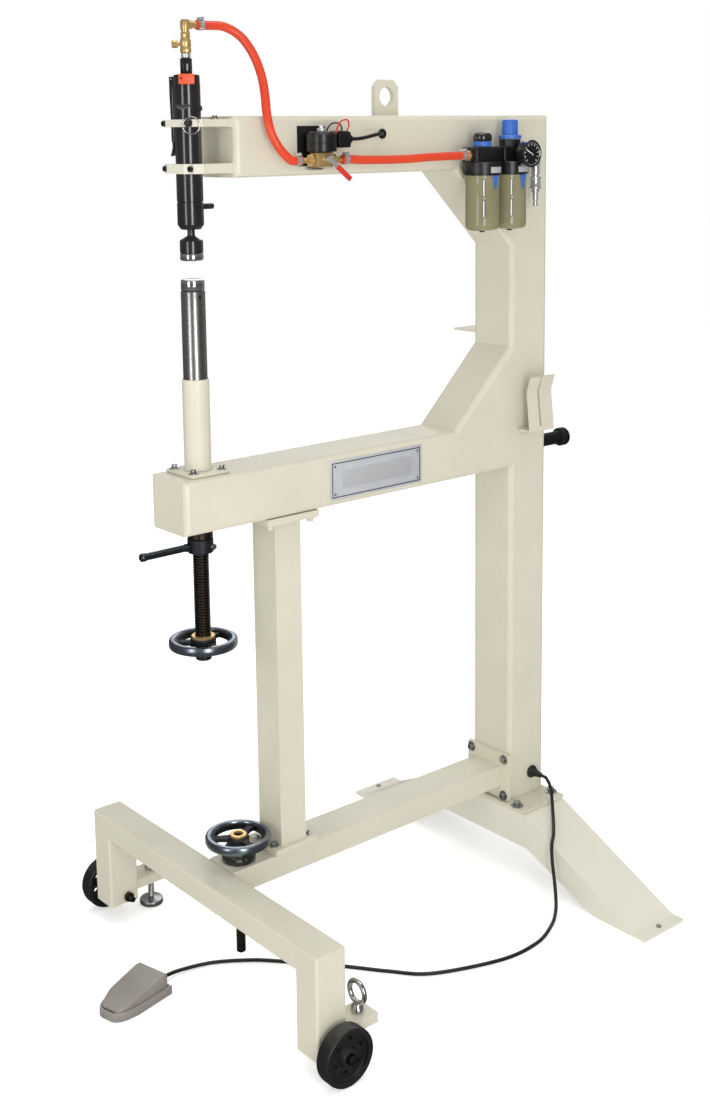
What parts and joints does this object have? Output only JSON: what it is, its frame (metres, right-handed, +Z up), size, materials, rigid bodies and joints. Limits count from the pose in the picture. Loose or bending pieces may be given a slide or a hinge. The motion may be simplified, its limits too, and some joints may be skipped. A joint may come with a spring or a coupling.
{
  "type": "pneumatic planishing hammer",
  "caption": "Wheeled C-frame sheet metal hammer stand with an air hammer above a screw-adjusted anvil post, air preparation unit and foot pedal.",
  "frame": {"origin": "centre of the bounding box at floor level", "axes": "+Z up; +X from the hammer towards the column; +Y towards the side away from the air unit"},
  "size_m": [1.1325, 0.85, 1.7075],
  "materials": {
    "cream": "semi-gloss",
    "black_metal": "satin",
    "ground_steel": "ground",
    "oiled_steel": "oiled",
    "polished_wheel": "polished",
    "chrome": "polished",
    "brass": "satin",
    "orange_hose": "satin",
    "red_lever": "dipped grip",
    "black_plastic": "matte",
    "black_rubber": "matte",
    "blue_plastic": "satin",
    "olive_bowl": "gloss",
    "cast_grey": "cast, painted",
    "brushed_aluminium": "brushed"
  },
  "bodies": {
    "frame": {"c_frame": "cream", "lifting_eye": "cream", "front_post": "cream", "base_beam": "cream", "crossbar": "cream", "base_plate": "cream", "rear_leg": "cream", "hanger_bracket": "cream", "rear_peg": "oiled_steel", "name_plate": "brushed_aluminium", "anvil_sleeve": "cream", "screw_nut": "oiled_steel", "hammer_barrel": "black_metal", "clamp_cap_upper": "cream", "clamp_cap_lower": "cream", "air_inlet": "black_metal", "flow_valve": "brass", "hose_elbow": "brass", "air_hose_upper": "orange_hose", "air_hose_feed": "orange_hose", "lubricator_head": "black_plastic", "lubricator_bowl": "olive_bowl", "oil_dome": "blue_plastic", "filter_head": "black_plastic", "filter_bowl": "olive_bowl", "pressure_gauge": "black_metal", "coupler_body": "chrome", "solenoid_valve": "brass", "solenoid_coil": "black_plastic", "solenoid_plug": "black_plastic", "valve_cable": "black_rubber", "cable_gland": "black_rubber", "pedal_cable": "black_rubber", "pedal_base": "cast_grey", "axle_left": "oiled_steel", "axle_right": "oiled_steel", "jack_bearing": "black_metal"},
    "anvil": {"anvil_post": "ground_steel", "lower_die": "ground_steel"},
    "screw": {"anvil_screw": "oiled_steel", "anvil_handwheel": "polished_wheel"},
    "lock": {"lock_nut": "oiled_steel", "lock_lever": "ground_steel"},
    "piston": {"hammer_piston": "ground_steel"},
    "die": {"upper_die": "black_metal"},
    "throttle": {"throttle_lever": "black_metal"},
    "pin": {"release_pin": "black_metal"},
    "flow": {"flow_knob": "brass"},
    "regulator": {"regulator_knob": "blue_plastic"},
    "sleeve": {"coupler_sleeve": "chrome"},
    "cock": {"valve_lever": "red_lever"},
    "treadle": {"pedal_treadle": "cast_grey"},
    "wheel_l": {"wheel_left": "black_rubber"},
    "wheel_r": {"wheel_right": "black_rubber"},
    "foot_l": {"leveller_pad_left": "ground_steel"},
    "foot_r": {"leveller_pad_right": "ground_steel"},
    "eye_l": {"leveller_screw_left": "ground_steel"},
    "eye_r": {"leveller_screw_right": "ground_steel"},
    "jack": {"jack_screw": "oiled_steel"},
    "jack_wheel": {"jack_handwheel": "polished_wheel"}
  },
  "joints": [
    {"name": "handwheel_turn", "type": "hinge", "parent": "anvil", "child": "screw", "pos_m": [-0.36, 0, 0.8], "axis": [0, 0, 1], "range_deg": [-4320, 2016]},
    {"name": "anvil_slide", "type": "slide", "parent": "frame", "child": "anvil", "axis": [0, 0, 1], "range_m": [-0.06, 0.028]},
    {"name": "lock_turn", "type": "hinge", "parent": "frame", "child": "lock", "pos_m": [-0.36, 0, 0.823], "axis": [0, 0, 1], "range_deg": [-60, 20]},
    {"name": "piston_slide", "type": "slide", "parent": "frame", "child": "piston", "axis": [0, 0, 1], "range_m": [0, 0.045]},
    {"name": "die_slide", "type": "slide", "parent": "frame", "child": "die", "axis": [0, 0, 1], "range_m": [-0.002, 0], "stiffness_N_per_m": 4000},
    {"name": "throttle_swing", "type": "hinge", "parent": "frame", "child": "throttle", "pos_m": [-0.3721, 0.0237, 1.612], "axis": [0.891, 0.454, 0], "range_deg": [0, 2]},
    {"name": "pin_pull", "type": "slide", "parent": "frame", "child": "pin", "axis": [-1, 0, 0], "range_m": [0, 0.024]},
    {"name": "flow_turn", "type": "hinge", "parent": "frame", "child": "flow", "pos_m": [-0.36, 0, 1.668], "axis": [-0.766, 0.6428, 0], "range_deg": [0, 270]},
    {"name": "regulator_turn", "type": "hinge", "parent": "frame", "child": "regulator", "pos_m": [0.304, -0.091, 1.52], "axis": [0, 0, 1], "range_deg": [-270, 270]},
    {"name": "sleeve_push", "type": "slide", "parent": "frame", "child": "sleeve", "axis": [0, 0, -1], "range_m": [0, 0.003], "stiffness_N_per_m": 300},
    {"name": "cock_turn", "type": "hinge", "parent": "frame", "child": "cock", "pos_m": [-0.141, -0.0996, 1.478], "axis": [0, 1, 0], "range_deg": [0, 90]},
    {"name": "pedal_press", "type": "hinge", "parent": "frame", "child": "treadle", "pos_m": [-0.5565, 0.0335, 0.0145], "axis": [-0.2419, 0.9703, 0], "range_deg": [0, 3.2], "stiffness_Nm_per_rad": 12},
    {"name": "wheel_left_spin", "type": "hinge", "parent": "frame", "child": "wheel_l", "pos_m": [-0.359, 0.374, 0.05], "axis": [0, 1, 0], "continuous": true},
    {"name": "wheel_right_spin", "type": "hinge", "parent": "frame", "child": "wheel_r", "pos_m": [-0.359, -0.374, 0.05], "axis": [0, 1, 0], "continuous": true},
    {"name": "pad_left_lift", "type": "slide", "parent": "frame", "child": "foot_l", "axis": [0, 0, 1], "range_m": [0, 0.018]},
    {"name": "pad_right_lift", "type": "slide", "parent": "frame", "child": "foot_r", "axis": [0, 0, 1], "range_m": [0, 0.018]},
    {"name": "eye_left_turn", "type": "hinge", "parent": "foot_l", "child": "eye_l", "pos_m": [-0.289, 0.322, 0.05], "axis": [0, 0, 1], "range_deg": [0, 3702]},
    {"name": "eye_right_turn", "type": "hinge", "parent": "foot_r", "child": "eye_r", "pos_m": [-0.289, -0.322, 0.05], "axis": [0, 0, 1], "range_deg": [0, 3702]},
    {"name": "jack_turn", "type": "hinge", "parent": "frame", "child": "jack_wheel", "pos_m": [-0.297, 0, 0.263], "axis": [0, 0, 1], "range_deg": [-720, 4320]},
    {"name": "jack_lower", "type": "slide", "parent": "frame", "child": "jack", "axis": [0, 0, -1], "range_m": [-0.006, 0.036]}
  ],
  "couplings": [
    {"joint": "anvil_slide", "follows": "handwheel_turn", "m_per_rad": 0.00079577},
    {"joint": "pad_left_lift", "follows": "eye_left_turn", "m_per_rad": 0.00027852},
    {"joint": "pad_right_lift", "follows": "eye_right_turn", "m_per_rad": 0.00027852},
    {"joint": "jack_lower", "follows": "jack_turn", "m_per_rad": 0.00047746}
  ]
}
